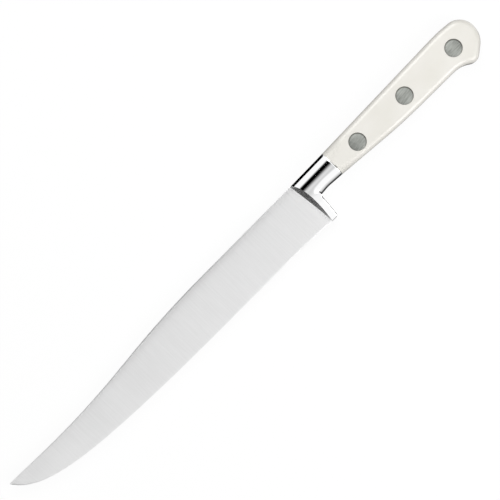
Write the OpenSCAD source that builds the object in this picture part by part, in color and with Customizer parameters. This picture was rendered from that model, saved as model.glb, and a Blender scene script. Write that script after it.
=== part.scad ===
// Slicing knife with a forged bolster, a full tang and two riveted handle scales.
// It lies on its side: +X runs from the tip to the butt, +Y from the cutting edge
// to the spine, and +Z out of the left side. The outline is drawn from the point
// where the spine meets the bolster, and moved to the middle of its box at the end.

/* [Blade] */
// Length of the blade, from the bolster to the tip
blade_length = 200; // [170:1:230]
// Height of the blade at its heel
heel_height = 26.5; // [24:0.5:30]
// Thickness of the spine where it leaves the bolster
spine_thickness = 2.5; // [2:0.1:3]
// Thickness of the spine at the tip
tip_thickness = 0.9; // [0.6:0.1:1.4]
// Thickness of the cutting edge
edge_thickness = 0.12; // [0.08:0.02:0.2]
// Width of the ground band along the cutting edge
bevel_width = 1.1; // [0.8:0.1:1.6]
// Thickness of the blade where that band begins
bevel_thickness = 0.4; // [0.3:0.05:0.5]
// Height left at the very tip, between the spine and the edge
tip_height = 0.5; // [0.3:0.1:0.8]
// How far the blade's faces fall away towards the spine, on each side
face_drop = 0.15; // [0.05:0.05:0.25]
// Width of the band under the spine in which they fall away
face_drop_width = 7; // [4:0.5:9]
// Radius of the hump in the spine
hump_radius = 500; // [400:10:560]
// Radius of the hollow in the spine, ahead of the hump
hollow_radius = 450; // [350:10:500]
// Radius of the flare of the cutting edge near the heel
heel_flare_radius = 400; // [300:10:450]

/* [Bolster] */
// Length of the bolster along the spine
bolster_length = 22.3; // [19:0.1:26]
// Thickness of the bolster and of the handle
knife_thickness = 13; // [12:0.5:15]
// Length of the slanted shoulders, from the thickness of the tang to full thickness
shoulder_length = 2.5; // [2.2:0.1:3]
// How much further back the shoulder starts at the heel than at the spine
shoulder_lean = 3; // [2.4:0.1:3.2]
// How far behind the front of the bolster the finger guard leaves the neck
guard_root_length = 7.6; // [6.8:0.1:8.4]
// Length of the finger guard along its lower end
guard_tip_length = 3.2; // [2.8:0.1:3.8]
// Thickness of the finger guard at its lower end
guard_tip_thickness = 3.2; // [2.4:0.2:4]
// How far the finger guard reaches below the heel
guard_overhang = 0.1; // [0.05:0.05:0.3]
// Rounding of the finger guard's lower corner
guard_corner_radius = 0.7; // [0.4:0.1:1]
// Fillet between the finger guard and the neck
finger_radius = 1; // [0.6:0.1:1.6]
// Height of the arch under the neck
neck_arch = 0.75; // [0.5:0.05:0.9]
// Radius of that arch
neck_arch_radius = 20; // [10:1:24]
// How far the bolster's rounding reaches down from the spine
neck_top_round = 6.8; // [6:0.1:7.2]
// How far its rounding reaches up from the neck's underside
neck_low_round = 5; // [4.5:0.1:5.8]

/* [Handle] */
// Length of the handle, from the bolster to the butt
handle_length = 96.6; // [86.6:0.5:106.6]
// Height of the handle where it meets the bolster
neck_height = 14.1; // [13.5:0.1:15]
// How far the grip's underside lies below the spine line
grip_drop = 18; // [17:0.1:19]
// How far ahead of the butt the handle's back begins to fall, before it is rounded
crest_setback = 14.6; // [14.3:0.1:16]
// How far the handle's back rises above the spine line there
crest_rise = 0.75; // [0.4:0.05:0.9]
// How far the butt's upper corner lies below the spine line, before it is rounded
butt_top_drop = 1.1; // [0.7:0.1:1.2]
// How far the butt's lower corner lies below the spine line, before it is rounded
butt_low_drop = 15.3; // [15:0.1:16.2]
// How far ahead of the butt the corner of the beak lies, before it is rounded
beak_setback = 11.3; // [11:0.1:11.6]
// How far that corner lies below the spine line
beak_drop = 23.8; // [23.6:0.1:24.4]
// How far ahead of the butt the hollow ahead of the beak lies, before it is rounded
flare_setback = 18.2; // [18:0.1:19.4]
// Radius of the bend in the handle's back ahead of the butt
crest_radius = 80; // [50:5:85]
// Radius of the butt's upper corner
butt_top_radius = 9.2; // [7.5:0.1:9.4]
// Radius of the butt's lower corner
butt_low_radius = 11.5; // [8:0.1:12]
// Radius of the beak, which stays over the width of the grip's rounding
beak_radius = 4.7; // [3.6:0.1:5]
// Radius of the hollow ahead of the beak
flare_radius = 14.5; // [8:0.5:15]
// Radius of the bend in the grip's underside
grip_radius = 320; // [150:10:340]
// Thickness of the tang
tang_thickness = 3; // [2.4:0.1:3.6]
// Width of the rounding along the grip's edges
grip_round = 2.9; // [2.2:0.1:3.1]
// Upright wall of each scale at its edge, along the grip
grip_land = 2.1; // [1.6:0.1:2.6]
// The same wall where the scale meets the bolster
joint_land = 0.3; // [0.2:0.1:0.6]
// Length over which the bolster's rounding becomes the grip's
round_blend = 12; // [8:0.5:12]

/* [Rivets] */
// Diameter of the rivet heads
rivet_head_d = 8.8; // [7.6:0.1:9.2]
// Thickness of the rivet heads
rivet_head_t = 1.6; // [1.2:0.1:2.2]
// How far the heads lie below the face of the scales
rivet_sunk = 0.05; // [0.02:0.01:0.1]
// Outer diameter of the tubular half
sleeve_d = 5; // [4.4:0.1:5.6]
// Diameter of the pin half's shank, which is pressed into the tubular half
rivet_pin_d = 3.4; // [2.8:0.1:3.8]
// Space left between the pin's end and the bottom of its hole
pin_end_gap = 0.4; // [0.2:0.1:0.8]

/* [Fits] */
// Clearance all round each rivet head and shank
rivet_clearance = 0.02; // [0.01:0.01:0.05]

/* [Hidden] */

steel = [0.80, 0.81, 0.82];
cream = [0.93, 0.92, 0.88];
rivet_grey = [0.63, 0.64, 0.65];

// How far a cut or a hidden root runs past the face that it starts from
overrun = 1;
// Longest step along the handle's outline
outline_step = 4;
// How far a scale's rounding would rise past its level face, which cuts it off
crown = 0.15;

// Widest angle between two points of an arc, and the least number of its steps
arc_step_angle = 7.5;
arc_least_steps = 5;
belly_steps = 44;
ring_steps = 8;
section_steps = 16;
roll_steps = 4;
round_fn = 96;

half_thickness = knife_thickness / 2;
tang_half = tang_thickness / 2;
spine_half = spine_thickness / 2;
butt_x = bolster_length + handle_length;

// Corners of the spine and of the cutting edge: shares of the blade's length ahead
// of the bolster, and of the heel's height, up from the spine line
spine_corner_shares = [[0.435, 0.04], [0.757, -0.154]];
tip_drop_share = -0.081;
heel_flare_shares = [0.085, -0.943];
belly_shares = [[0.3, -0.918], [0.813, -0.857], [0.952, -0.68]];

// Place of the bend in the grip's underside, as a share of the handle's length, and
// drop of the hollow ahead of the beak, as a share of the grip's
grip_bend_share = 0.397;
flare_drop_share = -1.052;

// Places of the three rivets: shares of the handle's length behind the bolster, and
// of the grip's drop below the spine line
rivet_shares = [[0.168, -0.466], [0.5, -0.513], [0.845, -0.572]];
rivet_places = [
    for (share = rivet_shares)
        [bolster_length + share[0] * handle_length, share[1] * grip_drop]
];

function unit(v) = v / norm(v);
function mix(a, b, share) = a + (b - a) * share;
function turned(v, angle) =
    [v[0] * cos(angle) - v[1] * sin(angle), v[0] * sin(angle) + v[1] * cos(angle)];

// An outline's point: its place and the direction in which the outline runs on from it.
// The object lies on the right of that direction.
function outline_point(place, travel) = [place[0], place[1], travel[0], travel[1]];
function place_of(point) = [point[0], point[1]];
function drawn_in(point, inset) = place_of(point) + inset * [point[3], -point[2]];

// A corner of an outline, rounded with an arc
function corner_arc(before, corner, after, radius) =
    let (
        back = unit(before - corner),
        ahead = unit(after - corner),
        half_angle = acos(back * ahead) / 2,
        start = corner + back * radius / tan(half_angle),
        centre = corner + unit(back + ahead) * radius / sin(half_angle),
        sweep = -sign(cross(back, ahead)) * (180 - 2 * half_angle),
        steps = max(arc_least_steps, ceil(abs(sweep) / arc_step_angle))
    )
    [
        for (i = [0 : steps])
            let (angle = sweep * i / steps)
            outline_point(centre + turned(start - centre, angle), turned(-back, angle))
    ];

// The corners of an open outline, each one but its two ends rounded with its own radius
function rounded_corners(corners, radii) =
    [
        for (i = [1 : len(corners) - 2])
            each corner_arc(corners[i - 1], corners[i], corners[i + 1], radii[i - 1])
    ];

// Blade outline. The spine runs from the bolster to the tip, and so does the edge.
function blade_point(shares) = [-shares[0] * blade_length, shares[1] * heel_height];
heel = [shoulder_lean, -heel_height];
tip = blade_point([1, tip_drop_share]);
spine_corners = [
    [0, 0], blade_point(spine_corner_shares[0]), blade_point(spine_corner_shares[1]), tip
];
spine_line = concat(
    [[0, 0]],
    [for (p = rounded_corners(spine_corners, [hump_radius, hollow_radius])) place_of(p)],
    [tip]
);

heel_flare = blade_point(heel_flare_shares);
belly = concat(
    [for (shares = belly_shares) blade_point(shares)],
    [tip - [0, tip_height]]
);
function belly_point(t) =
    let (
        place = pow(1 - t, 3) * belly[0] + 3 * t * pow(1 - t, 2) * belly[1]
            + 3 * t * t * (1 - t) * belly[2] + pow(t, 3) * belly[3],
        travel = pow(1 - t, 2) * (belly[1] - belly[0])
            + 2 * t * (1 - t) * (belly[2] - belly[1]) + t * t * (belly[3] - belly[2])
    )
    outline_point(place, unit(travel));
edge_line = concat(
    [outline_point(heel, unit(heel_flare - heel))],
    rounded_corners([heel, heel_flare, belly[0]], [heel_flare_radius]),
    [for (i = [0 : belly_steps]) belly_point(i / belly_steps)]
);

// The blade is drawn as sections that stand square to the cutting edge. Each one
// starts at an edge point and reaches to the spine.
function spine_reach(edge, reach, steps) =
    let (top = drawn_in(edge, reach))
    steps <= 0 ? reach
    : spine_reach(edge, reach + lookup(top[0], spine_line) - top[1], steps - 1);
reach_steps = 16;

// Half of one section, from the cutting edge to the spine: distance up the section
// and half thickness
function half_section(reach, spine_half_here) =
    let (
        bevel_here = min(bevel_width, reach / 3),
        roll_here = min(face_drop_width, reach / 2),
        bevel_half = min(bevel_thickness / 2, spine_half_here),
        roll_depth = face_drop * spine_half_here / spine_half,
        face_half = spine_half_here + roll_depth
    )
    concat(
        [[0, edge_thickness / 2], [bevel_here, bevel_half]],
        [
            for (i = [0 : roll_steps])
                let (
                    share = i / roll_steps,
                    up = reach - roll_here * (1 - share)
                )
                [
                    up,
                    mix(bevel_half, face_half, (up - bevel_here) / (reach - bevel_here))
                    - roll_depth * share * share
                ]
        ]
    );

function section_ring(edge) =
    let (
        reach = spine_reach(edge, tip_height, reach_steps),
        top = drawn_in(edge, reach),
        spine_half_here = mix(spine_half, tip_thickness / 2, -top[0] / blade_length),
        half = half_section(reach, spine_half_here)
    )
    concat(
        [for (p = half) let (q = drawn_in(edge, p[0])) [q[0], q[1], p[1]]],
        [
            for (i = [len(half) - 1 : -1 : 0])
                let (q = drawn_in(edge, half[i][0]))
                [q[0], q[1], -half[i][1]]
        ]
    );

// The root repeats the first section inside the bolster, drawn in from its edges
root_shrink_share = 0.96;
function root_ring(ring) =
    let (middle = (ring[0] + ring[len(ring) / 2]) / 2)
    [
        for (p = ring)
            middle + (p - middle) * root_shrink_share + [shoulder_length / 2, 0, 0]
    ];

module blade_body() {
    drawn = [for (edge = edge_line) section_ring(edge)];
    rings = concat([root_ring(drawn[0])], drawn);
    per_ring = len(rings[0]);
    ring_count = len(rings);
    points = [for (ring = rings) each ring];
    sides = [
        for (i = [0 : ring_count - 2], k = [0 : per_ring - 1])
            let (
                a = i * per_ring + k,
                b = i * per_ring + (k + 1) % per_ring
            )
            each [[a, b + per_ring, b], [a, a + per_ring, b + per_ring]]
    ];
    root_cap = [for (k = [0 : per_ring - 1]) k];
    tip_cap = [for (k = [per_ring - 1 : -1 : 0]) (ring_count - 1) * per_ring + k];
    polyhedron(points = points, faces = concat(sides, [root_cap, tip_cap]), convexity = 4);
}

// Rounded edges are fuller than an ellipse, whose fullness is 2. These give how far in
// and how far up the rounding is at an angle, as shares of its width and of its rise.
neck_top_fullness = 2.6;
neck_low_fullness = 2.3;
grip_fullness = 2.2;
function rounding_in(angle, fullness) = 1 - pow(cos(angle), 2 / fullness);
function rounding_up(angle, fullness) = pow(sin(angle), 2 / fullness);

// Bolster: cross-sections of the neck and of the finger guard, drawn across the knife.
// Each point is a height from the spine line and a half thickness.
function rounded_edge(start, width, fullness, steps) =
    [
        for (i = steps)
            let (angle = 90 * i / section_steps)
            [
                start + width * rounding_in(angle, fullness),
                mix(tang_half + joint_land, half_thickness, rounding_up(angle, fullness))
            ]
    ];
neck_top_edge = rounded_edge(0, -neck_top_round, neck_top_fullness, [0 : section_steps]);
neck_low_edge = rounded_edge(
    -neck_height, neck_low_round, neck_low_fullness, [section_steps : -1 : 0]
);
neck_half_section = concat(neck_top_edge, neck_low_edge);
guard_floor = -(heel_height + guard_overhang);
guard_fall = -guard_floor - neck_top_round;
guard_inset = (knife_thickness - guard_tip_thickness) / 2;
guard_radius = (guard_fall * guard_fall + guard_inset * guard_inset) / (2 * guard_inset);
guard_angle = asin(guard_fall / guard_radius);
guard_half_section = concat(
    neck_top_edge,
    [
        for (i = [1 : section_steps])
            let (angle = guard_angle * i / section_steps)
            [
                -neck_top_round - guard_radius * sin(angle),
                half_thickness - guard_radius * (1 - cos(angle))
            ]
    ]
);

// A half section, mirrored to the other side and run along X
module run_along_x(half_section_points, length) {
    whole = concat(
        half_section_points,
        [
            for (i = [len(half_section_points) - 1 : -1 : 0])
                [half_section_points[i][0], -half_section_points[i][1]]
        ]
    );
    rotate([90, 0, 90])
        linear_extrude(length)
            polygon(whole);
}

// Place of the arch's top, as a share of the way from the handle to the finger guard
arch_share = 0.62;
bolster_corners = [
    [bolster_length, -neck_height],
    [mix(bolster_length, guard_root_length, arch_share), neck_arch - neck_height],
    [guard_root_length, neck_arch / 2 - neck_height],
    [shoulder_lean + guard_tip_length, guard_floor],
    [-overrun, guard_floor]
];
bolster_radii = [neck_arch_radius, finger_radius, guard_corner_radius];
bolster_outline = concat(
    [[-overrun, guard_floor], [-overrun, 0], [bolster_length, 0], bolster_corners[0]],
    [for (p = rounded_corners(bolster_corners, bolster_radii)) place_of(p)]
);

module shoulder_prism() {
    slope = (half_thickness - tang_half) / shoulder_length;
    nose = tang_half / slope;
    slope_run = bolster_length + nose + 2 * overrun;
    lean_angle = atan(shoulder_lean / heel_height);
    rotate([0, 0, lean_angle])
        translate([0, overrun, 0])
            rotate([90, 0, 0])
                linear_extrude(heel_height + guard_overhang + 2 * overrun)
                    polygon([
                        [-nose, 0],
                        [slope_run - nose, slope * slope_run],
                        [slope_run - nose, -slope * slope_run]
                    ]);
}

module bolster_body() {
    intersection() {
        shoulder_prism();
        linear_extrude(knife_thickness + 2 * overrun, center = true)
            polygon(bolster_outline);
        union() {
            run_along_x(neck_half_section, bolster_length);
            translate([-overrun, 0, 0])
                run_along_x(guard_half_section, guard_root_length + overrun);
        }
    }
}

// Handle outline, from the top of its joint with the bolster round the butt and back
joint_top = [bolster_length, 0];
joint_low = [bolster_length, -neck_height];
crest = [butt_x - crest_setback, crest_rise];
butt_top = [butt_x, -butt_top_drop];
butt_low = [butt_x, -butt_low_drop];
beak = [butt_x - beak_setback, -beak_drop];
flare = [butt_x - flare_setback, flare_drop_share * grip_drop];
grip_bend = [bolster_length + grip_bend_share * handle_length, -grip_drop];

// Points no further apart than a step along a line's straight runs
function subdivided(line) =
    [
        for (i = [0 : len(line) - 2])
            let (parts = ceil(norm(place_of(line[i + 1] - line[i])) / outline_step))
            for (k = [0 : parts - 1])
                mix(line[i], line[i + 1], k / parts),
        line[len(line) - 1]
    ];
handle_top = subdivided(
    concat(
        [outline_point(joint_top, unit(crest - joint_top))],
        rounded_corners(
            [joint_top, crest, butt_top, butt_low],
            [crest_radius, butt_top_radius]
        )
    )
);
handle_low = subdivided(
    concat(
        rounded_corners(
            [butt_top, butt_low, beak, flare, grip_bend, joint_low],
            [butt_low_radius, beak_radius, flare_radius, grip_radius]
        ),
        [outline_point(joint_low, unit(joint_low - grip_bend))]
    )
);

module tang_body() {
    difference() {
        linear_extrude(tang_thickness, center = true)
            polygon([for (p = concat(handle_top, handle_low)) place_of(p)]);
        for (place = rivet_places)
            translate([place[0], place[1], -tang_half - overrun])
                cylinder(
                    h = tang_thickness + 2 * overrun,
                    d = sleeve_d + 2 * rivet_clearance,
                    $fn = round_fn
                );
    }
}

module forged_blade() {
    color(steel)
        union() {
            blade_body();
            bolster_body();
            tang_body();
        }
}

// Handle scale: a blank of rings that follow the handle's outline, drawn in and up along
// the rounding. It is cut level on the outside, and flat where it meets the tang and the
// bolster.
function scale_run(line, joint_round, joint_fullness, angle) =
    [
        for (p = line)
            let (
                share = min((p[0] - bolster_length) / round_blend, 1),
                blend = share * share * (3 - 2 * share),
                rim = tang_half + mix(joint_land, grip_land, blend),
                fullness = mix(joint_fullness, grip_fullness, blend),
                width = mix(joint_round, grip_round, blend),
                q = drawn_in(p, width * rounding_in(angle, fullness))
            )
            [q[0], q[1], mix(rim, half_thickness + crown, rounding_up(angle, fullness))]
    ];
function scale_ring(angle) =
    let (
        top_run = scale_run(handle_top, neck_top_round, neck_top_fullness, angle),
        low_run = scale_run(handle_low, neck_low_round, neck_low_fullness, angle),
        root_x = bolster_length - overrun,
        last = low_run[len(low_run) - 1]
    )
    concat(
        [[root_x, top_run[0][1], top_run[0][2]]],
        top_run,
        low_run,
        [[root_x, last[1], last[2]]]
    );

module scale_blank() {
    rim_ring = scale_ring(0);
    rings = concat(
        [[for (p = rim_ring) [p[0], p[1], tang_half - overrun]]],
        [for (k = [0 : ring_steps]) scale_ring(90 * k / ring_steps)]
    );
    count = len(rings[0]);
    last = len(rings) - 1;
    sides = [
        for (k = [0 : last - 1], i = [0 : count - 2])
            let (a = k * count + i, b = a + count)
            each [[a, a + 1, b + 1], [a, b + 1, b]]
    ];
    floor_face = [for (i = [count - 1 : -1 : 0]) i];
    top_face = [for (i = [0 : count - 1]) last * count + i];
    root_face = concat(
        [for (k = [0 : last]) k * count],
        [for (k = [last : -1 : 0]) k * count + count - 1]
    );
    polyhedron(
        points = [for (ring = rings) each ring],
        faces = concat(sides, [floor_face, top_face, root_face]),
        convexity = 4
    );
}

module scale_body() {
    intersection() {
        scale_blank();
        translate([bolster_length, -beak_drop - overrun, tang_half])
            cube([
                handle_length + overrun,
                beak_drop + crest_rise + 2 * overrun,
                half_thickness - tang_half
            ]);
    }
}

module left_scale_in_place() {
    difference() {
        scale_body();
        for (place = rivet_places)
            translate([place[0], place[1], 0]) {
                cylinder(
                    h = knife_thickness,
                    d = sleeve_d + 2 * rivet_clearance,
                    $fn = round_fn
                );
                translate([0, 0, half_thickness - rivet_sunk - rivet_head_t])
                    cylinder(
                        h = rivet_head_t + overrun,
                        d = rivet_head_d + 2 * rivet_clearance,
                        $fn = round_fn
                    );
            }
    }
}

module left_scale() {
    color(cream)
        left_scale_in_place();
}

module right_scale() {
    color(cream)
        mirror([0, 0, 1])
            left_scale_in_place();
}

// Rivets: a tubular half from the left and a pin half from the right, pressed together
head_face = half_thickness - rivet_sunk;
head_seat = head_face - rivet_head_t;
sleeve_end = -head_seat + rivet_clearance;
bore_end = head_seat;

module rivet_sleeve(place) {
    color(rivet_grey)
        translate([place[0], place[1], 0])
            difference() {
                union() {
                    translate([0, 0, head_seat])
                        cylinder(h = rivet_head_t, d = rivet_head_d, $fn = round_fn);
                    translate([0, 0, sleeve_end])
                        cylinder(h = head_face - sleeve_end, d = sleeve_d, $fn = round_fn);
                }
                translate([0, 0, sleeve_end - overrun])
                    cylinder(
                        h = bore_end - sleeve_end + overrun,
                        d = rivet_pin_d + 2 * rivet_clearance,
                        $fn = round_fn
                    );
            }
}

module rivet_pin(place) {
    color(rivet_grey)
        translate([place[0], place[1], 0]) {
            translate([0, 0, -head_face])
                cylinder(h = rivet_head_t, d = rivet_head_d, $fn = round_fn);
            translate([0, 0, -head_face])
                cylinder(
                    h = head_face + bore_end - pin_end_gap,
                    d = rivet_pin_d,
                    $fn = round_fn
                );
        }
}

// The knife's own box, whose middle is the origin
outline_tops = [for (p = concat(spine_line, handle_top)) p[1]];
middle_x = (butt_x - blade_length) / 2;
middle_y = (max(outline_tops) + guard_floor) / 2;

module in_frame() {
    translate([-middle_x, -middle_y, half_thickness])
        children();
}

in_frame() forged_blade();
in_frame() left_scale();
in_frame() right_scale();
in_frame() rivet_sleeve(rivet_places[0]);  // front_rivet_sleeve
in_frame() rivet_pin(rivet_places[0]);  // front_rivet_pin
in_frame() rivet_sleeve(rivet_places[1]);  // middle_rivet_sleeve
in_frame() rivet_pin(rivet_places[1]);  // middle_rivet_pin
in_frame() rivet_sleeve(rivet_places[2]);  // butt_rivet_sleeve
in_frame() rivet_pin(rivet_places[2]);  // butt_rivet_pin
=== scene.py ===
from math import asin, ceil, cos, pi, radians, sin, tan

import bpy
from mathutils import Matrix, Vector
from numpy import interp


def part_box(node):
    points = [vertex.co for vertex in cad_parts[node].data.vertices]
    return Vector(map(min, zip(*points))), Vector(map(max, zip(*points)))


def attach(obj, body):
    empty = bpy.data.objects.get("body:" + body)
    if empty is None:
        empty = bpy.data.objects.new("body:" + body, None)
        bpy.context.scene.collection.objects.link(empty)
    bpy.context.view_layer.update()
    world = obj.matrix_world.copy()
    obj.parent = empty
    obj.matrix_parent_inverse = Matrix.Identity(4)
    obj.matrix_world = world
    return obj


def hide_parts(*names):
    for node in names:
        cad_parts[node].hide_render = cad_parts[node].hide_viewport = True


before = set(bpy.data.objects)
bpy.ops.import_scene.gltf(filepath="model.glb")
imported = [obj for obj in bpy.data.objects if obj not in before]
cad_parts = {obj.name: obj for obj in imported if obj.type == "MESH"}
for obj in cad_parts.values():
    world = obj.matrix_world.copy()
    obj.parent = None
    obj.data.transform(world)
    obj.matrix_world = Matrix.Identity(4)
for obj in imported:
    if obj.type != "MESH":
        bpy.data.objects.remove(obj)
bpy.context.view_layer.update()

# Blade: forged from one bar of stainless steel with the bolster and the tang, and ground
# thin towards the cutting edge, which has a narrow sharpened band. The sides are satin,
# finely ground across the blade.
blade_length = 0.2
heel_height = 0.0265
guard_overhang = 0.0001
shoulder_lean = 0.003
root_x = 0.0034
tip_height = 0.0005
spine_half = 0.00125
tip_half = 0.00045
edge_half = 0.00006
bevel_half = 0.00014
bevel_width = 0.0006
face_slope = 0.03
# The sides roll off a little towards the spine, whose corners are eased
roll_width = 0.005
roll_depth = 0.0002
spine_ease = 0.00005
ease_angles = (radians(30), radians(60), radians(90))
belly_steps = 90
face_steps = 4
roll_steps = 8
weld = 1e-6

forging_low, forging_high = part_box("forged_blade")
# The knife's own origin is where the spine meets the bolster, in the middle of its
# thickness. Each piece is modelled round it, and then moved to its place in the frame.
knife_origin = Vector((
    forging_low.x + blade_length,
    forging_low.y + heel_height + guard_overhang,
    (forging_low.z + forging_high.z) / 2,
))

tip = Vector((-blade_length, -0.00215))
spine_corners = [Vector((0, 0)), Vector((-0.087, 0.00106)), Vector((-0.1514, -0.00408)), tip]
spine_radii = [0.5, 0.45]
# Inside the bolster the spine dips, to lie below the bolster's own surface
spine_root = [Vector((root_x, -0.0003)), Vector((0.0006, -0.0001)), Vector((0.0002, 0))]
heel = Vector((shoulder_lean, -heel_height))
heel_flare = Vector((-0.017, -0.025))
heel_radius = 0.4
belly = [
    Vector((-0.06, -0.02433)), Vector((-0.1626, -0.02271)), Vector((-0.1904, -0.01802)),
    tip - Vector((0, tip_height)),
]


def mix(a, b, share):
    return a + (b - a) * share


def rounded_line(corners, radii, arc_steps=12):
    """The rounded corners of a line, as pairs of a place and the direction there."""
    points = []
    for before, corner, after, radius in zip(corners, corners[1:], corners[2:], radii):
        back = (before - corner).normalized()
        ahead = (after - corner).normalized()
        half_angle = back.angle(ahead) / 2
        start = corner + back * radius / tan(half_angle)
        centre = corner + (back + ahead).normalized() * radius / sin(half_angle)
        sweep = (pi - 2 * half_angle) * (-1 if back.cross(ahead) > 0 else 1)
        for i in range(arc_steps + 1):
            turn = Matrix.Rotation(sweep * i / arc_steps, 2)
            points.append((centre + turn @ (start - centre), turn @ -back))
    return points


def curve_point(corners, t):
    """A place on a curve between its first and last corner, and the direction there."""
    while len(corners) > 2:
        corners = [a.lerp(b, t) for a, b in zip(corners, corners[1:])]
    return corners[0].lerp(corners[1], t), (corners[1] - corners[0]).normalized()


def subdivided(line, longest):
    """The same line, with points added so that none are further apart than longest."""
    points = []
    for (place, travel), (next_place, next_travel) in zip(line, line[1:]):
        parts = max(1, ceil((next_place - place).length / longest))
        for i in range(parts):
            points.append((
                place.lerp(next_place, i / parts),
                travel.lerp(next_travel, i / parts).normalized(),
            ))
    return points + [line[-1]]


def skin(name, columns, sharp_rows=()):
    """A grid primitive whose columns of vertices are laid on the given places."""
    bpy.ops.object.select_all(action="DESELECT")
    last_column, last_row = len(columns) - 1, len(columns[0]) - 1
    bpy.ops.mesh.primitive_grid_add(
        x_subdivisions=last_column, y_subdivisions=last_row, size=2, calc_uvs=True
    )
    sheet = bpy.context.object
    sheet.name = sheet.data.name = name
    rows = []
    for vertex in sheet.data.vertices:
        column = round((vertex.co.x + 1) / 2 * last_column)
        rows.append(round((vertex.co.y + 1) / 2 * last_row))
        vertex.co = columns[column][rows[-1]]
    for edge in sheet.data.edges:
        row, other_row = (rows[i] for i in edge.vertices)
        edge.use_edge_sharp = row == other_row and row in sharp_rows
    return sheet


def make_active(piece):
    bpy.ops.object.select_all(action="DESELECT")
    piece.select_set(True)
    bpy.context.view_layer.objects.active = piece


def apply_modifier(piece, kind, **settings):
    make_active(piece)
    modifier = piece.modifiers.new(kind, kind)
    for setting, value in settings.items():
        setattr(modifier, setting, value)
    bpy.ops.object.modifier_apply(modifier=modifier.name)


def add_right_half(piece):
    apply_modifier(
        piece,
        "MIRROR",
        use_axis=(False, False, True),
        use_mirror_merge=True,
        merge_threshold=weld,
    )


def close_up(piece, smooth_angle=radians(30)):
    """Merges the piece's seams, fills its open ends and smooths what is rounded."""
    make_active(piece)
    bpy.ops.object.mode_set(mode="EDIT")
    bpy.ops.mesh.select_mode(type="VERT")
    bpy.ops.mesh.select_all(action="SELECT")
    bpy.ops.mesh.remove_doubles(threshold=weld)
    bpy.ops.mesh.fill_holes(sides=0)
    bpy.ops.mesh.select_all(action="SELECT")
    bpy.ops.mesh.normals_make_consistent(inside=False)
    bpy.ops.object.mode_set(mode="OBJECT")
    bpy.ops.object.shade_smooth_by_angle(angle=smooth_angle, keep_sharp_edges=True)


def hand_over(piece, material, slot, *nodes):
    """Moves a finished piece to its place in the frame, in the CAD nodes' stead."""
    make_active(piece)
    piece.location = knife_origin
    bpy.ops.object.transform_apply()
    piece.data.materials.clear()
    piece.data.materials.append(material)
    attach(piece, "root")
    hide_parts(*nodes)


spine_arcs = rounded_line(spine_corners, spine_radii, arc_steps=24)
spine_line = spine_root + [p for p, travel in spine_arcs] + [tip]
spine_x = [p.x for p in reversed(spine_line)]
spine_y = [p.y for p in reversed(spine_line)]
edge_line = subdivided(
    [(Vector((root_x, -heel_height)), Vector((-1, 0)))]
    + [(heel, (heel_flare - heel).normalized())]
    + rounded_line([heel, heel_flare, belly[0]], [heel_radius])
    + [curve_point(belly, i / belly_steps) for i in range(belly_steps + 1)],
    longest=0.003,
)


def blade_section(place, travel):
    """Half a section across the blade, from the edge straight up to the spine."""
    reach = float(interp(place.x, spine_x, spine_y)) - place.y
    spine_here = min(
        mix(spine_half, tip_half, min(max(-place.x / blade_length, 0), 1)),
        bevel_half + face_slope * reach,
    )
    # Near the tip the bevel, the roll and the eased corner shrink with the reach
    bevel_here = min(bevel_width / -travel.x, reach / 3)
    roll_share = min(1, reach / 2 / roll_width)
    roll_start = reach - roll_width * roll_share
    roll_here = roll_depth * roll_share * spine_here / spine_half
    ease = min(spine_ease, spine_here / 3, reach / 6)

    def face_z(height):
        slope = (height - bevel_here) / (reach - bevel_here)
        roll = max(0, (height - roll_start) / (reach - roll_start))
        return mix(bevel_half, spine_here + roll_here, slope) - roll_here * roll * roll

    heights = [mix(bevel_here, roll_start, i / face_steps) for i in range(face_steps + 1)]
    heights += [mix(roll_start, reach - ease, (i + 1) / roll_steps) for i in range(roll_steps)]
    profile = [(0, 0), (0, edge_half)] + [(height, face_z(height)) for height in heights]
    corner_z = face_z(reach - ease)
    for angle in ease_angles:
        profile.append((reach - ease * (1 - sin(angle)), corner_z - ease * (1 - cos(angle))))
    profile.append((reach, 0))
    return [Vector((place.x, place.y + height, z)) for height, z in profile]


# The third row is the top of the sharpened band, which shows as a crisp line
blade = skin("blade", [blade_section(*p) for p in edge_line], sharp_rows=(2,))
add_right_half(blade)
close_up(blade, smooth_angle=radians(35))


def new_material(name, base_colour, metallic, roughness):
    """A material, its node tree, its shader and the piece's Object coordinates."""
    material = bpy.data.materials.new(name)
    material.use_nodes = True
    tree = material.node_tree
    shader = tree.nodes["Principled BSDF"]
    shader.inputs["Base Color"].default_value = (*base_colour, 1)
    shader.inputs["Metallic"].default_value = metallic
    shader.inputs["Roughness"].default_value = roughness
    place = tree.nodes.new("ShaderNodeTexCoord").outputs["Object"]
    return material, tree, shader, place


def add_noise(tree, place, scale, detail=2.0, turn=0.0):
    """Noise with so many grains a metre along X, Y and Z, turned about Z."""
    mapping = tree.nodes.new("ShaderNodeMapping")
    mapping.vector_type = "TEXTURE"
    mapping.inputs["Rotation"].default_value = (0, 0, turn)
    mapping.inputs["Scale"].default_value = [1 / s for s in scale]
    noise = tree.nodes.new("ShaderNodeTexNoise")
    noise.inputs["Scale"].default_value = 1
    noise.inputs["Detail"].default_value = detail
    tree.links.new(place, mapping.inputs["Vector"])
    tree.links.new(mapping.outputs["Vector"], noise.inputs["Vector"])
    return noise.outputs["Fac"]


def spread(tree, noise, low, high):
    """Noise, which seldom leaves 0.3 to 0.7, spread over low to high."""
    spreader = tree.nodes.new("ShaderNodeMapRange")
    spreader.inputs["From Min"].default_value = 0.3
    spreader.inputs["From Max"].default_value = 0.7
    spreader.inputs["To Min"].default_value = low
    spreader.inputs["To Max"].default_value = high
    tree.links.new(noise, spreader.inputs["Value"])
    return spreader.outputs["Result"]


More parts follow.
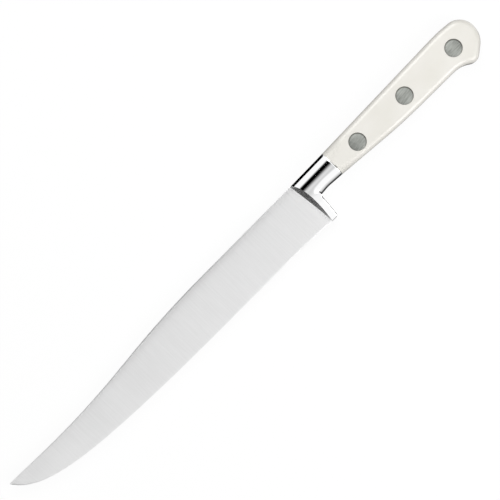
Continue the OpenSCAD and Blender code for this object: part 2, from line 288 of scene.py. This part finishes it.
def mixed(tree, share, a, b):
    """Two colours or outputs of nodes, mixed by that share."""
    mixer = tree.nodes.new("ShaderNodeMix")
    mixer.data_type = "RGBA"
    tree.links.new(share, mixer.inputs["Factor"])
    for value, socket in ((a, mixer.inputs["A"]), (b, mixer.inputs["B"])):
        if isinstance(value, tuple):
            socket.default_value = (*value, 1)
        else:
            tree.links.new(value, socket)
    return mixer.outputs["Result"]


def add_bump(tree, shader, height, depth):
    bump = tree.nodes.new("ShaderNodeBump")
    bump.inputs["Strength"].default_value = 1
    bump.inputs["Distance"].default_value = depth
    tree.links.new(height, bump.inputs["Height"])
    tree.links.new(bump.outputs["Normal"], shader.inputs["Normal"])


def ground_steel(name, dark, light, roughness, scale, turn=0.0):
    """Steel ground in one direction, whose fine lines spread the light across them."""
    material, tree, shader, place = new_material(name, light, 1, sum(roughness) / 2)
    grain = add_noise(tree, place, scale, detail=3, turn=turn)
    patches = add_noise(tree, place, scale=(35, 90, 90))
    colour = mixed(tree, spread(tree, grain, 0, 1), dark, light)
    tree.links.new(colour, shader.inputs["Base Color"])
    tree.links.new(spread(tree, patches, *roughness), shader.inputs["Roughness"])
    add_bump(tree, shader, grain, depth=0.000004)
    return material


satin_steel = ground_steel(
    "satin_steel",
    dark=(0.845, 0.845, 0.845),
    light=(0.885, 0.885, 0.885),
    roughness=(0.28, 0.32),
    scale=(1500, 30, 1500),
)
tree = satin_steel.node_tree
shader = tree.nodes["Principled BSDF"]
shader.inputs["Anisotropic"].default_value = 0.35
along_blade = tree.nodes.new("ShaderNodeTangent")
along_blade.direction_type = "UV_MAP"
tree.links.new(along_blade.outputs["Tangent"], shader.inputs["Tangent"])
hand_over(blade, satin_steel, "satin_steel", "forged_blade")

# Bolster: the thick part of the forging between the blade and the handle, with the finger
# guard that runs down behind the heel. Slanted shoulders lead up to it from the blade's
# sides. It is rounded along the back and the underside, and polished to a mirror.
guard_root_x = 0.0076
guard_tip_x = 0.0062
guard_corner_radius = 0.0007
guard_ease = 0.0006
# The further down, the more the guard's side tilts in: pairs of a fall and of degrees
guard_tilt = [(0, 0), (0.0054, 6.3), (0.0093, 7), (0.0115, 19.5), (0.02, 20.5)]
fall_step = 0.0001
fall_count = 200
# The guard runs smoothly into the neck, until between two depths the run narrows to a crease
crease_x = 0.0082
crease_gap = 0.00002
crease_depths = (0.0112, 0.0122)
crease_reach = 0.0002
blend_reach = 0.0025
finger_radius = 0.001
neck_side_x = 0.011
neck_height = 0.0141
neck_arch = 0.00075
neck_arch_share = 0.62
neck_arch_radius = 0.02
neck_curve_radius = 0.048
neck_top_round = 0.0068
neck_low_round = 0.005
top_fullness = 2.6
low_fullness = 2.3
joint_land = 0.0003
joint_ease = 0.00003
nose_run = 0.001
nose_dip = 0.0002
round_steps = 20
side_steps = 8
neck_steps = 15
guard_steps = 20
brow_steps = 6
curve_steps = 60
shoulder_shares = (0.33, 0.67, 1)

scale_low, scale_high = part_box("left_scale")
half_thickness = (forging_high.z - forging_low.z) / 2
tang_half = scale_low.z - knife_origin.z
bolster_length = scale_low.x - knife_origin.x
guard_floor = -heel_height - guard_overhang
joint_rim = tang_half + joint_land

underside = [
    Vector((bolster_length, -neck_height)),
    Vector((mix(bolster_length, guard_root_x, neck_arch_share), neck_arch - neck_height)),
    Vector((guard_root_x, neck_arch / 2 - neck_height)),
    Vector((guard_tip_x, guard_floor)),
    Vector((0, guard_floor)),
]
underside_arcs = rounded_line(underside, [neck_arch_radius, finger_radius, guard_corner_radius])
underline = [underside[0]] + [p for p, travel in underside_arcs]
# The shoulder's two edges: where it leaves the blade, and where it meets the bolster's side
shoulder_foot = [
    Vector((0, 0)),
    Vector((0.00233, -0.02081)),
    Vector((0.00186, -0.017)),
    Vector((0.00238, guard_floor)),
]
shoulder_top = [
    Vector((0.0003, 0)),
    Vector((0.0062, -0.0065)),
    Vector((0.0024, -0.0267)),
    Vector((0.00245, guard_floor)),
]


def smooth_share(value, start, end):
    share = min(max((value - start) / (end - start), 0), 1)
    return share * share * (3 - 2 * share)


def line_lookup(points, sought, given):
    """Looks one coordinate of a line up by the other."""
    pairs = sorted((p[given], p[sought]) for p in points)
    return lambda value: float(interp(value, [a for a, b in pairs], [b for a, b in pairs]))


def curve_lookup(corners):
    """Looks the x of a curve up by its y."""
    points = [curve_point(corners, i / curve_steps)[0] for i in range(curve_steps + 1)]
    return line_lookup(points, 0, 1)


low_y = line_lookup([p for p in underline if p.x > guard_root_x], 1, 0)
rear_x = line_lookup([p for p in underline if p.y < -neck_height + neck_arch / 2], 0, 1)
foot_x = curve_lookup(shoulder_foot)
top_x = curve_lookup(shoulder_top)

falls = [fall_step * i for i in range(fall_count + 1)]
drops = [0]
for fall in falls[1:]:
    drops.append(drops[-1] + fall_step * tan(radians(float(interp(fall, *zip(*guard_tilt))))))


def guard_drop(fall):
    """How far the guard's side curves in over that fall."""
    return float(interp(fall, falls, drops))


def neck_drop(fall):
    """How far the neck's side curves in over that fall."""
    return neck_curve_radius * (1 - cos(asin(fall / neck_curve_radius)))


def rounded_up(inset, width, fullness):
    """How far up a rounded edge is, as a share, so far in from its rim."""
    left = 1 - min(max(inset / width, 0), 1)
    return (1 - left ** fullness) ** (1 / fullness)


def neck_z(x, y):
    fall = max(-y - neck_top_round, 0)
    drop = mix(guard_drop(fall), neck_drop(fall), smooth_share(x, crease_x, neck_side_x))
    up = min(
        rounded_up(-y, neck_top_round, top_fullness),
        rounded_up(y - low_y(x), neck_low_round, low_fullness),
    )
    return mix(joint_rim, half_thickness - drop, up)


def guard_z(x, y):
    """The guard's side. It runs smoothly into the neck above, and leaves a crease below."""
    up = rounded_up(-y, neck_top_round, top_fullness)
    z = mix(joint_rim, half_thickness - guard_drop(max(-y - neck_top_round, 0)), up)
    if y < low_y(crease_x):
        return z
    reach = mix(blend_reach, crease_reach, smooth_share(-y, *crease_depths))
    return mix(neck_z(crease_x, y), z, smooth_share(crease_x - x, 0, reach))


def rounding(width, fullness):
    """How far in and how far up a rounded edge is at each step, from its rim to its top."""
    return [
        (width * (1 - cos(angle) ** (2 / fullness)), sin(angle) ** (2 / fullness))
        for angle in (pi / 2 * i / round_steps for i in range(round_steps))
    ] + [(width, 1)]


def side_heights(low):
    """The heights of the rows down a side, from the spine line to its low edge."""
    top = [-across for across, up in rounding(neck_top_round, top_fullness)]
    rise = [low + across for across, up in reversed(rounding(neck_low_round, low_fullness))]
    return top + [mix(top[-1], rise[0], i / side_steps) for i in range(1, side_steps)] + rise


def drawn_in(column, heart_x):
    """The same column, drawn in a little towards a point halfway down the neck."""
    heart = Vector((heart_x, -neck_height / 2, 0))
    return [p - (p - heart).normalized() * joint_ease for p in column]


guard_rows = [(i + 1) / guard_steps for i in range(guard_steps)]
guard_eases = [0.7, 0.45, 0.25, 0.1, 0]
rows_below = len(guard_rows) + len(guard_eases)

# The neck's columns, from the joint with the handle, come closer together at the crease
off_joint = [0.0005, 0.001]
off_crease = [0.0016, 0.0013, 0.001, 0.0008, 0.0006, 0.0004, 0.0002, 0.0001, 0]
neck_start, neck_end = bolster_length - off_joint[1], crease_x + off_crease[0]
neck_x = [bolster_length - joint_ease, bolster_length - off_joint[0]]
neck_x += [mix(neck_start, neck_end, i / neck_steps) for i in range(neck_steps + 1)]
neck_x += [crease_x + off for off in off_crease[1:]]
columns = []
for x in neck_x:
    low = low_y(x)
    column = [Vector((x, 0, 0))] + [Vector((x, y, neck_z(x, y))) for y in side_heights(low)]
    columns.append(column + [Vector((x, low, 0))] * (rows_below + 1))
# The edge against the handle is eased, so that the joint shows as a fine line
columns.insert(0, drawn_in(columns[0], heart_x=0))
for p in columns[0]:
    p.x = bolster_length

crease_y = low_y(crease_x)
crease_heights = side_heights(crease_y)


def guard_heights(inset):
    """The heights of the rows below the crease, down to the guard's rounded corner."""
    corner = max(guard_corner_radius - inset, 0)
    bottom = guard_floor + guard_corner_radius - (guard_corner_radius ** 2 - corner ** 2) ** 0.5
    rows = [mix(crease_y, bottom + guard_ease, share) for share in guard_rows]
    return rows + [bottom + guard_ease * share for share in guard_eases], bottom


def guard_column(inset, share):
    """A column of the guard, that far in from its rear edge or that far on to the shoulder."""
    column = []
    for y in crease_heights:
        x = mix(crease_x - crease_gap - inset, top_x(y), share)
        column.append(Vector((x, y, guard_z(x, y))))
    heights, bottom = guard_heights(inset)
    for y in heights:
        x = mix(rear_x(y) - inset, top_x(y), share)
        near_rear = max(guard_ease - inset, 0) if share == 0 else 0
        near_floor = max(guard_ease - (y - bottom), 0)
        up = max(guard_ease ** 2 - near_rear ** 2 - near_floor ** 2, 0) ** 0.5
        column.append(Vector((x, y, guard_z(x, y) - (guard_ease - up))))
    return [Vector((column[0].x, 0, 0))] + column + [Vector((column[-1].x, bottom, 0))]


rear_wall = [p.copy() for p in columns[-1][:len(crease_heights) + 1]]
rear_wall += [Vector((rear_x(y), y, 0)) for y in guard_heights(0)[0]]
rear_wall.append(rear_wall[-1].copy())
columns.append(rear_wall)
insets = [0, 0.00004, 0.00008, 0.00012, 0.00016, 0.00022, 0.0003, 0.0004, 0.0006, 0.0009]
columns += [guard_column(inset, 0) for inset in insets]
columns += [guard_column(insets[-1], (i + 1) / brow_steps) for i in range(brow_steps)]

# The shoulder runs from the side's front edge down to the blade, and on inside it
brow = columns[-1]
for share in shoulder_shares:
    columns.append([])
    for p in brow:
        foot = Vector((foot_x(p.y), p.y, 0))
        foot.z = min(p.z, mix(bevel_half, spine_half, 1 + foot.y / heel_height))
        columns[-1].append(p.lerp(foot, share))
nose = []
for p, foot in zip(brow, columns[-1]):
    run = (p.x - foot.x) * foot.z / max(p.z - foot.z, weld)
    nose.append(Vector((foot.x - min(run, nose_run), min(p.y, -nose_dip), 0)))
columns.append(nose)


def select_only(piece, kind, wanted):
    """Opens the piece in edit mode, with only the wanted vertices or faces selected."""
    make_active(piece)
    bpy.ops.object.mode_set(mode="EDIT")
    bpy.ops.mesh.select_mode(type=kind)
    bpy.ops.mesh.select_all(action="DESELECT")
    bpy.ops.object.mode_set(mode="OBJECT")
    for part in {"VERT": piece.data.vertices, "FACE": piece.data.polygons}[kind]:
        part.select = wanted(part)
    bpy.ops.object.mode_set(mode="EDIT")


def in_middle_plane(face):
    return all(abs(bolster.data.vertices[i].co.z) < weld for i in face.vertices)


bolster = skin("bolster", columns)
select_only(bolster, "FACE", in_middle_plane)
bpy.ops.mesh.delete(type="FACE")
bpy.ops.object.mode_set(mode="OBJECT")
add_right_half(bolster)
close_up(bolster)


def add_spot(tree, place, centre, reach, low, high):
    """0 further from the centre than the low share of reach, and 1 nearer than the high one."""
    mapping = tree.nodes.new("ShaderNodeMapping")
    mapping.vector_type = "TEXTURE"
    mapping.inputs["Location"].default_value = centre
    mapping.inputs["Scale"].default_value = reach
    gradient = tree.nodes.new("ShaderNodeTexGradient")
    gradient.gradient_type = "SPHERICAL"
    edge = tree.nodes.new("ShaderNodeMapRange")
    edge.inputs["From Min"].default_value = 1 - low
    edge.inputs["From Max"].default_value = 1 - high
    tree.links.new(place, mapping.inputs["Vector"])
    tree.links.new(mapping.outputs["Vector"], gradient.inputs["Vector"])
    tree.links.new(gradient.outputs["Fac"], edge.inputs["Value"])
    return edge.outputs["Result"]


polished_steel, tree, shader, place = new_material(
    "polished_steel", base_colour=(0.975, 0.977, 0.98), metallic=1, roughness=0.05
)
haze = add_noise(tree, place, scale=(400, 60, 400), detail=4)
tree.links.new(spread(tree, haze, 0.02, 0.045), shader.inputs["Roughness"])
mirror_colour = mixed(tree, haze, (0.965, 0.967, 0.97), (0.985, 0.987, 0.99))
# Painted shade: the crease behind the guard is coloured dark, for the shade that falls in it
crease_shade_colour = (0.03, 0.03, 0.03)
crease_shade_reach = (0.00042, 0.0014, 1)
crease_shade_centre = (knife_origin.x + crease_x + 0.00005, knife_origin.y - 0.01295, 0)
in_crease_shade = add_spot(tree, place, crease_shade_centre, crease_shade_reach, low=1, high=0.5)
tree.links.new(mixed(tree, in_crease_shade, mirror_colour, crease_shade_colour), shader.inputs["Base Color"])
hand_over(bolster, polished_steel, "polished_steel", "forged_blade")

# Tang: the flat tail of the forging, as long and as high as the handle. Only its edges
# show, as a line of steel between the two scales, ground flush with them along the handle.
grip_drop = 0.018
tang_ease = 0.00006
sleeve_radius = 0.0025
rivet_clearance = 0.00002
hole_sides = 96

handle_length = scale_high.x - scale_low.x
butt_x = bolster_length + handle_length
joint_top = Vector((bolster_length, 0))
joint_low = Vector((bolster_length, -neck_height))
# Round the handle: the back, the three corners of the butt, the hollow before the beak,
# and the swell of the grip
handle_corners = [
    joint_top,
    Vector((butt_x - 0.0146, 0.00075)),
    Vector((butt_x, -0.0011)),
    Vector((butt_x, -0.0153)),
    Vector((butt_x - 0.0113, -0.0238)),
    Vector((butt_x - 0.0182, -1.052 * grip_drop)),
    Vector((bolster_length + 0.397 * handle_length, -grip_drop)),
    joint_low,
]
handle_radii = [0.08, 0.0092, 0.0115, 0.0047, 0.0145, 0.32]
handle_line = subdivided(
    [(joint_top, (handle_corners[1] - joint_top).normalized())]
    + rounded_line(handle_corners, handle_radii)
    + [(joint_low, (joint_low - handle_corners[-2]).normalized())],
    longest=0.002,
)
# Each rivet's place, as shares of the handle's length and of the grip's drop
rivet_shares = [(0.168, 0.466), (0.5, 0.513), (0.845, 0.572)]
rivet_places = [
    Vector((bolster_length + along * handle_length, -down * grip_drop))
    for along, down in rivet_shares
]


def to_the_right(travel):
    """The direction square to a line, towards the object on its right."""
    return Vector((travel.y, -travel.x))


def face_across(piece, z):
    """Fills the flat face whose rim is the row of vertices at that height."""
    select_only(piece, "VERT", lambda vertex: abs(vertex.co.z - z) < weld)
    bpy.ops.mesh.edge_face_add()
    bpy.ops.object.mode_set(mode="OBJECT")


def cut_holes(piece, low_z, high_z, low_radius, high_radius):
    """Cuts a round hole at each rivet, straight or tapered, from one height to another."""
    for p in rivet_places:
        bpy.ops.mesh.primitive_cone_add(
            vertices=hole_sides,
            radius1=low_radius,
            radius2=high_radius,
            depth=high_z - low_z,
            location=(p.x, p.y, (low_z + high_z) / 2),
        )
        cutter = bpy.context.object
        apply_modifier(piece, "BOOLEAN", object=cutter, operation="DIFFERENCE", solver="EXACT")
        bpy.data.objects.remove(cutter)


columns = []
for p, travel in handle_line:
    eased = p + to_the_right(travel) * tang_ease
    columns.append([
        Vector((*eased, -tang_half)),
        Vector((*p, tang_ease - tang_half)),
        Vector((*p, tang_half - tang_ease)),
        Vector((*eased, tang_half)),
    ])
tang = skin("tang", columns)
face_across(tang, -tang_half)
face_across(tang, tang_half)
close_up(tang)
sleeve_hole = sleeve_radius + rivet_clearance
cut_holes(tang, -2 * tang_half, 2 * tang_half, sleeve_hole, sleeve_hole)
close_up(tang)
tang_steel = ground_steel(
    "tang_steel",
    dark=(0.70, 0.705, 0.71),
    light=(0.78, 0.785, 0.79),
    roughness=(0.24, 0.32),
    scale=(120, 1800, 1800),
)
hand_over(tang, tang_steel, "satin_steel", "forged_blade")

# Handle scales: one each side of the tang, moulded in cream plastic, rounded along their
# edges and polished. Three rivets through the tang hold them, with their heads let in.
grip_round = 0.0029
grip_land = 0.0021
grip_fullness = 2.2
round_blend = 0.012
scale_ease = 0.00005
head_radius = 0.0044
head_thickness = 0.0016
head_clearance = 0.00006
rivet_sunk = 0.00005
hole_chamfer = 0.00012

hole_radius = head_radius + head_clearance
seat_z = half_thickness - rivet_sunk - head_thickness

# Next to the bolster the scale is rounded as the bolster is, and further on as a grip
columns = []
for i, (p, travel) in enumerate(handle_line):
    inward = to_the_right(travel)
    blend = smooth_share(p.x, bolster_length, bolster_length + round_blend)
    on_top = i < len(handle_line) / 2
    joint_round = neck_top_round if on_top else neck_low_round
    rim = mix(joint_rim, tang_half + grip_land, blend)
    fullness = mix(top_fullness if on_top else low_fullness, grip_fullness, blend)
    column = [Vector((*(p + inward * scale_ease), tang_half))]
    column.append(Vector((*p, tang_half + scale_ease)))
    for across, up in rounding(mix(joint_round, grip_round, blend), fullness):
        column.append(Vector((*(p + inward * across), mix(rim, half_thickness, up))))
    columns.append(column)
# The edges against the bolster are eased, as the bolster's own edge is
for end in (0, -1):
    flush = columns[end]
    eased = drawn_in(flush, heart_x=bolster_length)
    eased[0].z = flush[0].z
    eased[-1].z = flush[-1].z
    columns.insert(0 if end == 0 else len(columns), eased)
    for p in flush:
        p.x += joint_ease

left_scale = skin("cream_scale_left", columns)
face_across(left_scale, tang_half)
face_across(left_scale, half_thickness)
close_up(left_scale)
cut_holes(left_scale, 0, half_thickness, sleeve_hole, sleeve_hole)
cut_holes(left_scale, seat_z, 2 * half_thickness, hole_radius, hole_radius)
cut_holes(
    left_scale,
    half_thickness - hole_chamfer,
    half_thickness + hole_chamfer,
    hole_radius,
    hole_radius + 2 * hole_chamfer,
)
close_up(left_scale)


def is_level(face):
    return min(abs(face.center.z - z) for z in (tang_half, seat_z, half_thickness)) < weld


select_only(left_scale, "FACE", is_level)
bpy.ops.mesh.faces_shade_flat()
bpy.ops.object.mode_set(mode="OBJECT")

bpy.ops.object.duplicate()
right_scale = bpy.context.object
right_scale.name = right_scale.data.name = "cream_scale_right"
right_scale.scale.z = -1
bpy.ops.object.transform_apply()

cream_plastic, tree, shader, place = new_material(
    "cream_plastic", base_colour=(0.82, 0.80, 0.745), metallic=0, roughness=0.2
)
shader.inputs["IOR"].default_value = 1.6
clouds = add_noise(tree, place, scale=(60, 90, 90), detail=3)
speckle = add_noise(tree, place, scale=(2600, 2600, 2600))
cream = mixed(tree, spread(tree, clouds, 0, 1), (0.815, 0.795, 0.735), (0.85, 0.83, 0.78))
tree.links.new(cream, shader.inputs["Base Color"])
tree.links.new(spread(tree, clouds, 0.18, 0.22), shader.inputs["Roughness"])
add_bump(tree, shader, speckle, depth=0.000002)
hand_over(left_scale, cream_plastic, "cream_handle", "left_scale")
hand_over(right_scale, cream_plastic, "cream_handle", "right_scale")

# Rivets: cutler's rivets in two halves of stainless steel. A tube with a head comes from
# the left, and a pin with a head is pressed into it from the right. The heads are ground
# flat once they are in, which leaves a fine hatch on them, and lie a hair below the cream.
pin_radius = 0.0017
pin_end_gap = 0.0004
head_ease = 0.00008


def turned_rivet(name, shank_radius, shank_end, bore_radius=0, bore_end=0):
    """One half of a rivet, with its head up, turned from a disc the size of the head."""
    head_z = half_thickness - rivet_sunk
    bpy.ops.object.select_all(action="DESELECT")
    bpy.ops.mesh.primitive_cylinder_add(
        vertices=hole_sides,
        radius=head_radius,
        depth=head_thickness,
        location=(0, 0, head_z - head_thickness / 2),
    )
    rivet = bpy.context.object
    rivet.name = rivet.data.name = name
    bpy.ops.object.transform_apply()

    def select_end(z):
        """Selects the round face there, which alone has more than four corners."""
        select_only(
            rivet, "FACE", lambda face: len(face.vertices) > 4 and abs(face.center.z - z) < weld
        )

    def extrude(rise):
        bpy.ops.mesh.extrude_region_move(TRANSFORM_OT_translate={"value": (0, 0, rise)})

    select_end(head_z)
    bpy.ops.mesh.bevel(offset=head_ease, segments=3, affect="EDGES")
    bpy.ops.object.mode_set(mode="OBJECT")
    select_end(seat_z)
    bpy.ops.mesh.inset(thickness=head_radius - shank_radius)
    extrude(shank_end - seat_z)
    if bore_radius:
        bpy.ops.mesh.inset(thickness=shank_radius - bore_radius)
        extrude(bore_end - shank_end)
    bpy.ops.object.mode_set(mode="OBJECT")
    close_up(rivet)
    return rivet


def higher(tree, a, b):
    """The higher of two outputs of nodes."""
    either = tree.nodes.new("ShaderNodeMath")
    either.operation = "MAXIMUM"
    tree.links.new(a, either.inputs[0])
    tree.links.new(b, either.inputs[1])
    return either.outputs["Value"]


rivet_steel = ground_steel(
    "rivet_steel",
    dark=(0.21, 0.219, 0.203),
    light=(0.36, 0.371, 0.348),
    roughness=(0.40, 0.48),
    scale=(220, 1700, 1700),
    turn=radians(4),
)
# A fine dark joint round each head's rim, with painted shade added on it towards the spine,
# where the sunk head lies in the shadow of the cream's edge
rim_line_and_shade_colour = (0.09, 0.09, 0.08)
rim_shade_shift = Vector((-0.0002, -0.0002))
tree = rivet_steel.node_tree
place = tree.nodes["Texture Coordinate"].outputs["Object"]
base_socket = tree.nodes["Principled BSDF"].inputs["Base Color"]
ground_colour = base_socket.links[0].from_socket
middles = [
    add_spot(
        tree,
        place,
        centre=(*(knife_origin.xy + p + rim_shade_shift), 0),
        reach=(head_radius, head_radius, 1),
        low=1,
        high=0.89,
    )
    for p in rivet_places
]
in_middle = higher(tree, higher(tree, middles[0], middles[1]), middles[2])
tree.links.new(mixed(tree, in_middle, rim_line_and_shade_colour, ground_colour), base_socket)

for name, p in zip(("front", "middle", "butt"), rivet_places):
    tube = turned_rivet(
        f"{name}_rivet_tube_half",
        shank_radius=sleeve_radius,
        shank_end=rivet_clearance - seat_z,
        bore_radius=pin_radius + rivet_clearance,
        bore_end=seat_z,
    )
    tube.location = (*p, 0)
    bpy.ops.object.transform_apply()
    hand_over(tube, rivet_steel, "rivet_steel", f"{name}_rivet_sleeve")
    pin = turned_rivet(
        f"{name}_rivet_pin_half", shank_radius=pin_radius, shank_end=pin_end_gap - seat_z
    )
    pin.location = (*p, 0)
    pin.scale.z = -1
    bpy.ops.object.transform_apply()
    close_up(pin)
    hand_over(pin, rivet_steel, "rivet_steel", f"{name}_rivet_pin")

# Table: a matt white sheet under the knife. The camera and shiny surfaces see it glow
# almost plain white, and it still takes the knife's faint shadow.
table_size = 4
paper_white = 0.6
glow_strength = 1.08
glow_share = 0.85


def seen_directly(tree, most):
    """A share of most for rays from the camera, gloss and glass, and of 0 for others."""
    rays = tree.nodes.new("ShaderNodeLightPath").outputs
    mirrored = higher(tree, rays["Is Glossy Ray"], rays["Is Transmission Ray"])
    share = tree.nodes.new("ShaderNodeMath")
    share.operation = "MULTIPLY"
    share.inputs[1].default_value = most
    tree.links.new(higher(tree, rays["Is Camera Ray"], mirrored), share.inputs[0])
    return share.outputs["Value"]


def blend_shaders(tree, share, a, b, output):
    """Two shaders blended by that share, as the material's or the world's surface."""
    blend = tree.nodes.new("ShaderNodeMixShader")
    tree.links.new(share, blend.inputs["Fac"])
    tree.links.new(a.outputs[0], blend.inputs[1])
    tree.links.new(b.outputs[0], blend.inputs[2])
    tree.links.new(blend.outputs["Shader"], output.inputs["Surface"])


bpy.ops.object.select_all(action="DESELECT")
bpy.ops.mesh.primitive_plane_add(size=table_size, location=(0, 0, 0))
table = bpy.context.object
table.name = "white_table"
table_white = bpy.data.materials.new("table_white")
table_white.use_nodes = True
tree = table_white.node_tree
tree.nodes.clear()
paper = tree.nodes.new("ShaderNodeBsdfDiffuse")
paper.inputs["Color"].default_value = (paper_white, paper_white, paper_white, 1)
glow = tree.nodes.new("ShaderNodeEmission")
glow.inputs["Strength"].default_value = glow_strength
output = tree.nodes.new("ShaderNodeOutputMaterial")
blend_shaders(tree, seen_directly(tree, glow_share), paper, glow, output)
table.data.materials.append(table_white)

# Room and lights: a dim room that looks white, one weak soft light overhead and a strong
# one on each side. Shiny surfaces don't show these lights, but the cards further down.
room_level = 0.25

world = bpy.data.worlds.new("studio")
bpy.context.scene.world = world
world.use_nodes = True
tree = world.node_tree
dim_room = tree.nodes["Background"]
dim_room.inputs["Color"].default_value = (room_level, room_level, room_level, 1)
white_room = tree.nodes.new("ShaderNodeBackground")
white_room.inputs["Color"].default_value = (1, 1, 1, 1)
blend_shaders(tree, seen_directly(tree, 1), dim_room, white_room, tree.nodes["World Output"])


def soft_light(name, off_vertical, along, size, radiance):
    """A rectangle of light a metre away, turned that far from overhead towards the spine."""
    light = bpy.data.lights.new(name, "AREA")
    light.shape = "RECTANGLE"
    light.size, light.size_y = size
    light.energy = radiance * pi * size[0] * size[1]
    lamp = bpy.data.objects.new(name, light)
    bpy.context.scene.collection.objects.link(lamp)
    lamp.location = (along, knife_origin.y + sin(off_vertical), cos(off_vertical))
    lamp.rotation_euler = (-off_vertical, 0, 0)
    lamp.visible_glossy = False


soft_light("overhead_light", off_vertical=0, along=0.04, size=(1.2, 0.4), radiance=0.3)
soft_light(
    "spine_side_light", off_vertical=radians(28), along=0.3, size=(0.8, 0.8), radiance=2.35
)
soft_light(
    "edge_side_light", off_vertical=radians(-36), along=0.3, size=(0.8, 0.8), radiance=2.95
)

# Cards: sheets round the knife that show only in its shiny surfaces. Dark ones draw the
# lines and bands in the steel, and two bright ones the highlights on the handle.
overhead_height = 0.8
glow_distance = 0.3
glow_middle = Vector((0.123, -0.009, 0))
upright = (radians(90), 0, 0)
across_the_ends = (0, radians(90), 0)
solid_cover = [(0, 1), (1, 1)]


def card(name, centre, size, turn=(0, 0, 0), level=0.0, cover=solid_cover):
    """A card of one plain level. Its cover is how much it hides, as a share, at places
    across it from its low edge, at 0, to its high one, at 1."""
    bpy.ops.object.select_all(action="DESELECT")
    bpy.ops.mesh.primitive_plane_add(size=1, location=centre, rotation=turn)
    sheet = bpy.context.object
    sheet.name = name
    sheet.scale = (*size, 1)
    sheet.visible_camera = False
    sheet.visible_diffuse = False
    sheet.visible_shadow = False
    sheet.visible_transmission = False
    material = bpy.data.materials.new(name)
    material.use_nodes = True
    tree = material.node_tree
    tree.nodes.clear()
    shade = tree.nodes.new("ShaderNodeEmission")
    shade.inputs["Color"].default_value = (level, level, level, 1)
    clear = tree.nodes.new("ShaderNodeBsdfTransparent")
    axes = tree.nodes.new("ShaderNodeSeparateXYZ")
    tree.links.new(tree.nodes.new("ShaderNodeTexCoord").outputs["Object"], axes.inputs["Vector"])
    across = tree.nodes.new("ShaderNodeMath")
    across.operation = "ADD"
    across.inputs[1].default_value = 0.5
    tree.links.new(axes.outputs["Y"], across.inputs[0])
    ramp = tree.nodes.new("ShaderNodeValToRGB")
    stops = ramp.color_ramp.elements
    while len(stops) < len(cover):
        stops.new(0.5)
    for stop, (position, share) in zip(stops, cover):
        stop.position = position
        stop.color = (share, share, share, 1)
    tree.links.new(across.outputs["Value"], ramp.inputs["Fac"])
    output = tree.nodes.new("ShaderNodeOutputMaterial")
    blend_shaders(tree, ramp.outputs["Color"], clear, shade, output)
    material.cycles.emission_sampling = "NONE"
    sheet.data.materials.append(material)


# The one overhead hides part of the ceiling from the bolster, and draws its dark bands. The
# places across it are angles from straight up, in degrees, towards the spine.
overhead_cover = [
    (-19, 0), (-16, 0.03), (-14, 0.06), (-10.5, 0.18), (-8, 0.29), (-6, 0.34),
    (-4.2, 0.32), (-2.6, 0.25), (-1.1, 0.35), (0.1, 0.48), (1.6, 0.76), (3, 0.96), (5, 1),
    (15, 1), (17.5, 0.9), (20.5, 0.55), (23.5, 0.2), (26.5, 0),
]
overhead_y = [overhead_height * tan(radians(angle)) for angle, share in overhead_cover]
low_end, high_end = overhead_y[0], overhead_y[-1]
card(
    "overhead_card",
    centre=(
        knife_origin.x + 0.043,
        knife_origin.y + (low_end + high_end) / 2,
        overhead_height,
    ),
    size=(0.07, high_end - low_end),
    cover=[
        ((y - low_end) / (high_end - low_end), share)
        for y, (angle, share) in zip(overhead_y, overhead_cover)
    ],
)
card(
    "blade_spine_card",
    centre=(knife_origin.x - 0.106, knife_origin.y + 0.21, overhead_height),
    size=(0.248, 0.42),
    cover=[(0, 0), (0.12, 0.5), (0.25, 1), (0.8, 1), (1, 0)],
)
# The two side lights as shiny surfaces show them, over the handle only
for name, off_vertical in (("spine_side_glow", radians(31)), ("edge_side_glow", radians(-41))):
    away = Vector((0, sin(off_vertical), cos(off_vertical)))
    card(
        name,
        centre=knife_origin + glow_middle + away * glow_distance,
        size=(0.166, 0.26),
        turn=(-off_vertical, 0, 0),
        level=4.0,
        cover=[(0, 0), (0.2, 1), (0.8, 1), (1, 0)],
    )
card("tip_side_card", centre=(-3, 0, 4), size=(8, 5), turn=across_the_ends, level=0.05)
card("butt_side_card", centre=(0.9, 0, 0.75), size=(1.5, 1.6), turn=across_the_ends)
card(
    "spine_side_card",
    centre=(knife_origin.x + 0.0235, 0.36, 0.04),
    size=(0.03, 0.08),
    turn=upright,
)
card(
    "edge_side_card",
    centre=(0, -0.36, 0.1),
    size=(1.4, 0.2),
    turn=upright,
    cover=[(0, 0.37), (0.28, 0.26), (0.53, 0.14), (0.85, 0.04), (1, 0)],
)
# Cards on the table beside the knife, for what its rounded edges mirror
card_z = 0.0004
spine_side_y = forging_high.y + 0.151
edge_side_y = knife_origin.y - 0.165
card(
    "bolster_floor_card",
    centre=(knife_origin.x + 0.0155, spine_side_y, card_z),
    size=(0.037, 0.3),
)
card(
    "spine_floor_card",
    centre=(knife_origin.x + 0.094, spine_side_y, card_z),
    size=(0.12, 0.3),
    cover=[(0, 0.8), (1, 0.8)],
)
card(
    "neck_floor_card",
    centre=(knife_origin.x + 0.0155, edge_side_y, card_z + 0.0001),
    size=(0.017, 0.3),
    cover=[(0, 0), (0.8, 0.1), (1, 0.8)],
)
card(
    "edge_floor_card",
    centre=(0.115, edge_side_y, card_z),
    size=(0.17, 0.3),
    cover=[(0, 0.37), (0.62, 0.4), (0.83, 0.45), (0.91, 0.63), (0.96, 0.85), (1, 1)],
)

# Camera: a long lens straight above the knife, which is turned in the view so that it
# points down to the left.
view_width = 0.245
view_turn = radians(-46)
view_centre = Vector((-0.0359, -0.00735, 0))

camera_data = bpy.data.cameras.new("camera")
camera_data.lens = 200
camera_data.sensor_width = 36
camera_data.clip_start = 0.01
camera = bpy.data.objects.new("camera", camera_data)
bpy.context.scene.collection.objects.link(camera)
distance = view_width * camera_data.lens / camera_data.sensor_width
camera.location = knife_origin + view_centre + Vector((0, 0, distance))
camera.rotation_euler = (0, 0, view_turn)
bpy.context.scene.camera = camera
bpy.context.scene.view_settings.view_transform = "Standard"
